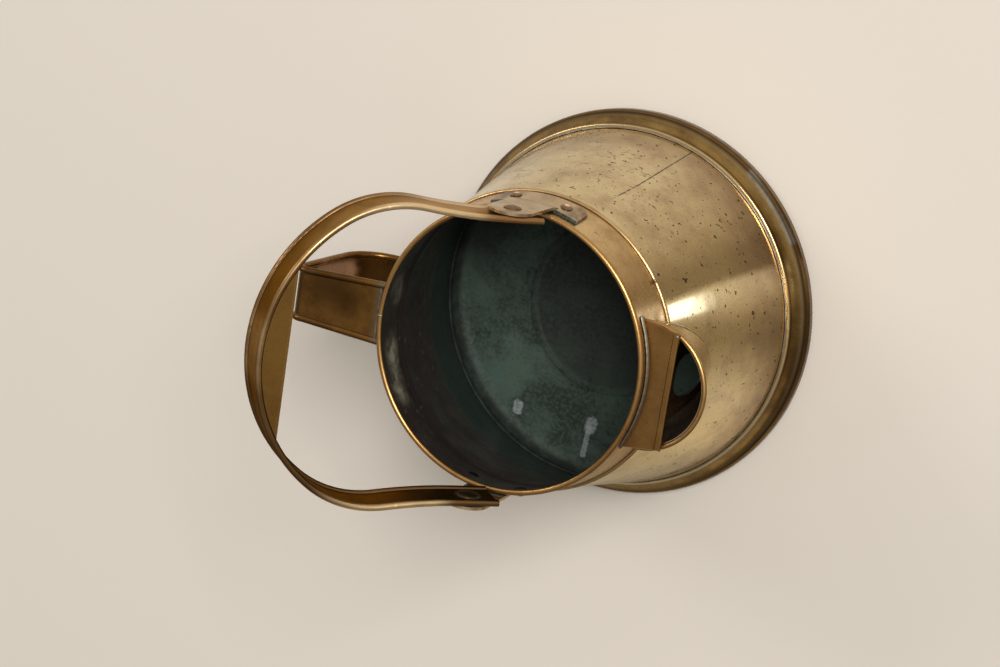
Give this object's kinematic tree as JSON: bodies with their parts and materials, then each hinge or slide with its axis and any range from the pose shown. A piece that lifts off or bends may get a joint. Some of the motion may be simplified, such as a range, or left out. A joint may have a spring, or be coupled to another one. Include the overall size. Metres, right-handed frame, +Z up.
{
  "type": "hot water can",
  "caption": "Conical brass hot water can with a moulded foot, a bridged scoop spout, a fixed strap handle and a swinging bail with a hollow grip.",
  "frame": {"origin": "centre of the foot's resting plane", "axes": "+Z up the can's axis, +X towards the spout, -X towards the back handle, Y along the bail's pivots"},
  "size_m": [0.249, 0.23, 0.2867],
  "materials": {
    "body_brass": "aged satin brass with dark specks",
    "neck_brass": "browned brass, worn bright on its edges",
    "foot_brass": "dark browned brass with bright ridges",
    "handle_brass": "browned brass, rubbed on the rolled edges",
    "ear_brass": "dull brass with verdigris along the edges",
    "inner_brass": "dark verdigris and lime scale",
    "copper": "bright copper",
    "iron_wire": "plain iron wire, closed in the rolled edges"
  },
  "bodies": {
    "can": {"body_shell": "body_brass", "base_plate": "inner_brass", "foot_ring": "foot_brass", "foot_wire": "iron_wire", "neck_collar": "neck_brass", "rim_wire": "neck_brass", "spout_shell": "body_brass", "spout_lip_wire": "neck_brass", "spout_bridge_plate": "neck_brass", "back_handle": "handle_brass", "back_handle_wire_left": "iron_wire", "back_handle_wire_right": "iron_wire", "ear_left": "ear_brass", "ear_right": "ear_brass", "ear_rivets": "copper", "pivot_pin_left": "handle_brass", "pivot_pin_right": "handle_brass", "pivot_washers": "handle_brass"},
    "bail": {"bail_strap": "handle_brass", "bail_wire_upper": "iron_wire", "bail_wire_lower": "iron_wire", "grip_chord_plate": "handle_brass", "grip_side_upper": "handle_brass", "grip_side_lower": "handle_brass"}
  },
  "joints": [
    {"name": "bail_swing", "type": "hinge", "parent": "can", "child": "bail", "pos_m": [0, 0, 0.184], "axis": [0, 1, 0], "range_deg": [-48, 138]}
  ]
}
